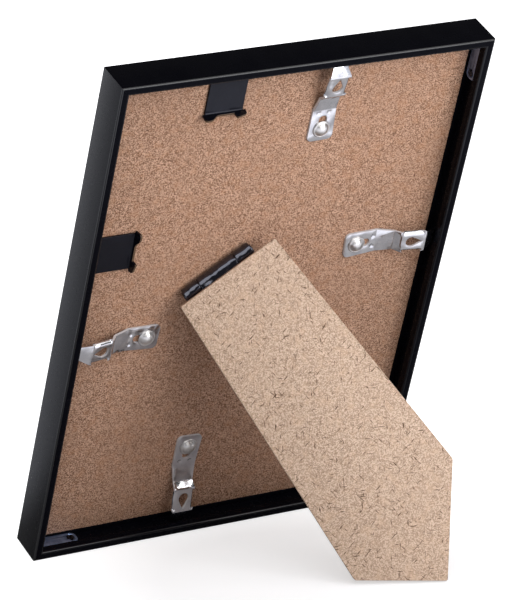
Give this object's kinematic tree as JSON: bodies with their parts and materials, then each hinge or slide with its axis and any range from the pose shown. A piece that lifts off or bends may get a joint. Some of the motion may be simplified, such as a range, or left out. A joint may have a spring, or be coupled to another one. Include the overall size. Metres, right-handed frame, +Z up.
{
  "type": "easel back photo frame",
  "caption": "Slim black photo frame seen from behind, leaning on a hinged hardboard strut, with plated turn clips, toothed sheet hangers and mitred metal rails around a brown backing board.",
  "frame": {"origin": "on the ground, under the centre of the frame's bounding box, with the frame standing on its rear bottom edge and its opened strut", "axes": "+Z up, -Y toward the picture side, +Y toward the strut; +X is the left side of the frame as seen from behind"},
  "size_m": [0.1364, 0.0978, 0.1789],
  "materials": {
    "rail_black": "black satin lacquer on an aluminium extrusion",
    "plated_angle": "bright zinc plate",
    "screw_steel": "dark plated steel",
    "glass": "clear float glass",
    "blank_sheet": "plain off-white paper",
    "brown_hardboard": "smooth dark brown hardboard with a fine speckle",
    "plated_clip": "bright nickel plate",
    "rivet_steel": "bright nickel plate",
    "hanger_black": "black lacquered sheet steel",
    "hinge_black": "glossy black lacquered steel",
    "beige_hardboard": "beige hardboard with short dark fibre flecks"
  },
  "bodies": {
    "frame": {"rail_bottom": "rail_black", "rail_right": "rail_black", "rail_top": "rail_black", "rail_left": "rail_black", "corner_angle_bottom_left": "plated_angle", "corner_angle_bottom_right": "plated_angle", "corner_angle_top_right": "plated_angle", "corner_angle_top_left": "plated_angle", "corner_screws_bottom_left": "screw_steel", "corner_screws_bottom_right": "screw_steel", "corner_screws_top_right": "screw_steel", "corner_screws_top_left": "screw_steel", "glass_pane": "glass", "picture_sheet": "blank_sheet", "backing_board": "brown_hardboard", "clip_rivet_top": "rivet_steel", "clip_rivet_right": "rivet_steel", "clip_rivet_bottom": "rivet_steel", "clip_rivet_left": "rivet_steel", "hanger_top": "hanger_black", "hanger_left": "hanger_black", "hinge_board_leaf": "hinge_black", "hinge_pin": "hinge_black", "hinge_rivets": "hinge_black"},
    "strut": {"strut_panel": "beige_hardboard", "hinge_strut_leaf": "hinge_black", "strut_tacks": "hinge_black"},
    "clip_top": {"turn_clip_top": "plated_clip"},
    "clip_right": {"turn_clip_right": "plated_clip"},
    "clip_bottom": {"turn_clip_bottom": "plated_clip"},
    "clip_left": {"turn_clip_left": "plated_clip"}
  },
  "joints": [
    {"name": "strut_fold", "type": "hinge", "parent": "frame", "child": "strut", "pos_m": [0.01562, -0.00509, 0.09979], "axis": [-0.8121, 0.2053, 0.5462], "range_deg": [0, 40.5]},
    {"name": "clip_top_turn", "type": "hinge", "parent": "frame", "child": "clip_top", "pos_m": [-0.0135, 0.01059, 0.14774], "axis": [0, 0.9361, -0.3518], "range_deg": [-90, 90]},
    {"name": "clip_right_turn", "type": "hinge", "parent": "frame", "child": "clip_right", "pos_m": [-0.0376, -0.00676, 0.10159], "axis": [0, 0.9361, -0.3518], "range_deg": [-60, 90]},
    {"name": "clip_bottom_turn", "type": "hinge", "parent": "frame", "child": "clip_bottom", "pos_m": [0.0117, -0.03294, 0.03195], "axis": [0, 0.9361, -0.3518], "range_deg": [-90, 60]},
    {"name": "clip_left_turn", "type": "hinge", "parent": "frame", "child": "clip_left", "pos_m": [0.0367, -0.01545, 0.07847], "axis": [0, 0.9361, -0.3518], "range_deg": [-90, 90]}
  ]
}
